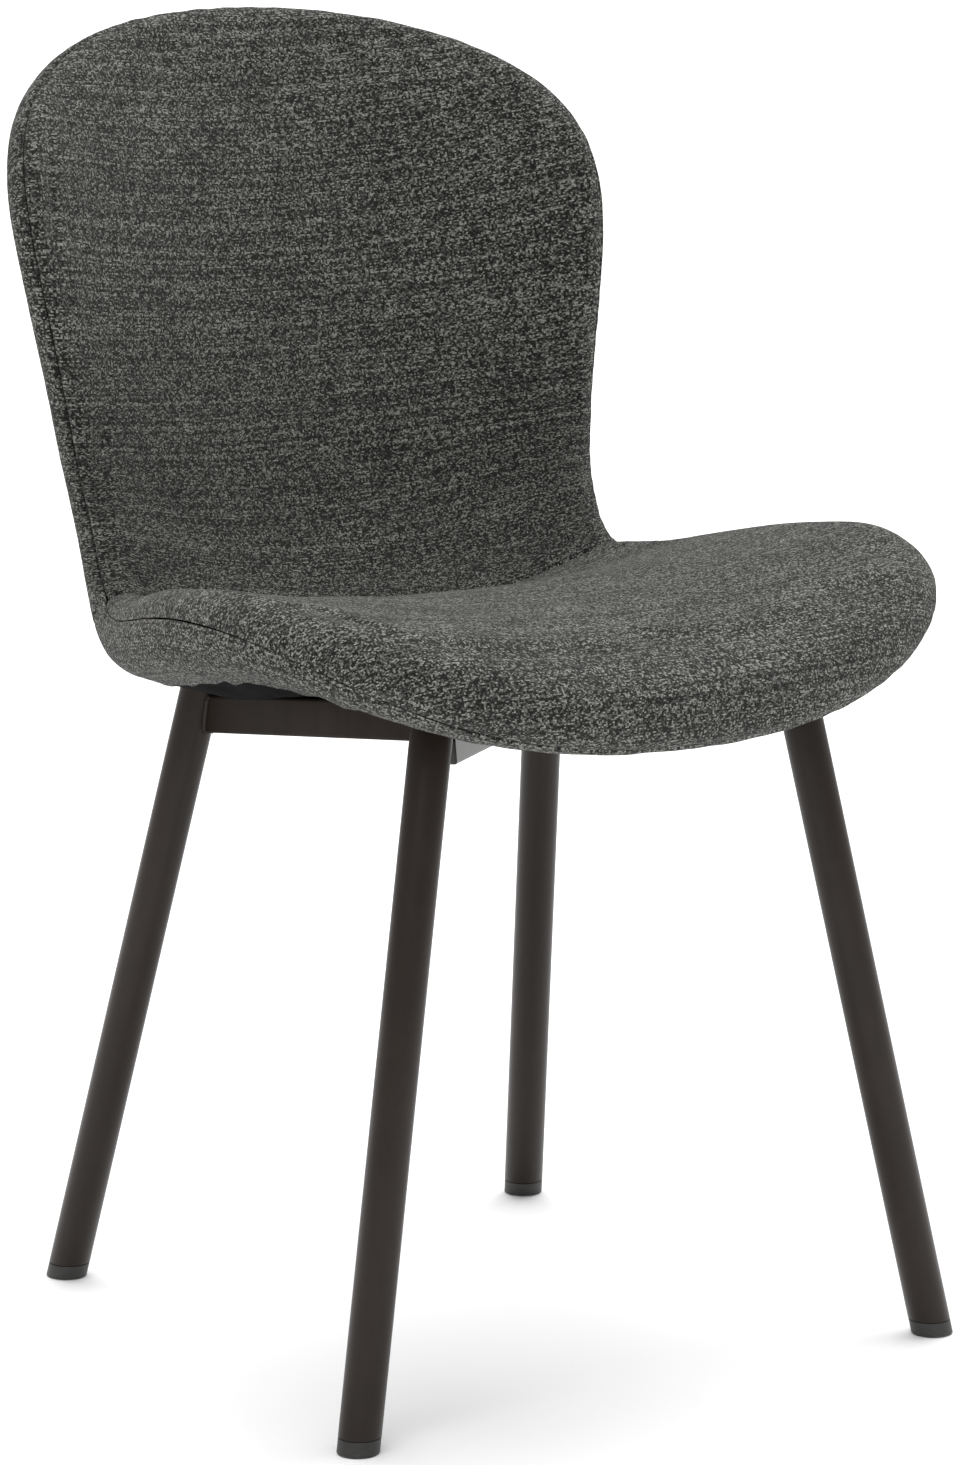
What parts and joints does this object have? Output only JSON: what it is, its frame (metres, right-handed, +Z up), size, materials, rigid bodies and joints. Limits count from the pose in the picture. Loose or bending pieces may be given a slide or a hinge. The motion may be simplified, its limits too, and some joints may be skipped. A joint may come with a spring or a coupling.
{
  "type": "dining chair",
  "caption": "Armless upholstered dining chair: a padded one-piece seat and back shell with flared seat sides on a splayed round-tube steel base.",
  "frame": {"origin": "middle of the chair's outline on the floor, the bottom centre of its box", "axes": "+Z up; the sitter faces -Y; +X is the sitter's left"},
  "size_m": [0.5166, 0.5705, 0.823],
  "materials": {
    "fabric": "heathered charcoal chenille weave, matt",
    "dust_cloth": "black non-woven cloth, matt",
    "foam": "cut polyurethane foam",
    "wadding": "white polyester wadding",
    "plywood": "bare moulded plywood",
    "steel_paint": "satin dark brown-black powder coat",
    "glide_plastic": "black moulded plastic",
    "zinc_steel": "bright zinc-plated steel fasteners"
  },
  "bodies": {
    "root": {"seat_cover": "fabric", "back_cover": "fabric", "rear_cover": "fabric", "seat_side_band": "fabric", "dust_cloth": "dust_cloth", "seat_foam": "foam", "back_foam": "foam", "seat_wadding": "wadding", "back_wadding": "wadding", "shell_core": "plywood", "leg_front_right": "steel_paint", "leg_front_left": "steel_paint", "leg_rear_right": "steel_paint", "leg_rear_left": "steel_paint", "side_rail_right": "steel_paint", "side_rail_left": "steel_paint", "brace_long": "steel_paint", "brace_half_front": "steel_paint", "brace_half_rear": "steel_paint", "leg_cap_front_right": "glide_plastic", "leg_cap_front_left": "glide_plastic", "leg_cap_rear_right": "glide_plastic", "leg_cap_rear_left": "glide_plastic", "glide_front_right": "glide_plastic", "glide_front_left": "glide_plastic", "glide_rear_right": "glide_plastic", "glide_rear_left": "glide_plastic", "mount_tab_front_right": "steel_paint", "spacer_front_right": "glide_plastic", "insert_front_right": "zinc_steel", "screw_front_right": "zinc_steel", "mount_tab_front_left": "steel_paint", "spacer_front_left": "glide_plastic", "insert_front_left": "zinc_steel", "screw_front_left": "zinc_steel", "mount_tab_rear_right": "steel_paint", "spacer_rear_right": "glide_plastic", "insert_rear_right": "zinc_steel", "screw_rear_right": "zinc_steel", "mount_tab_rear_left": "steel_paint", "spacer_rear_left": "glide_plastic", "insert_rear_left": "zinc_steel", "screw_rear_left": "zinc_steel"}
  },
  "joints": []
}
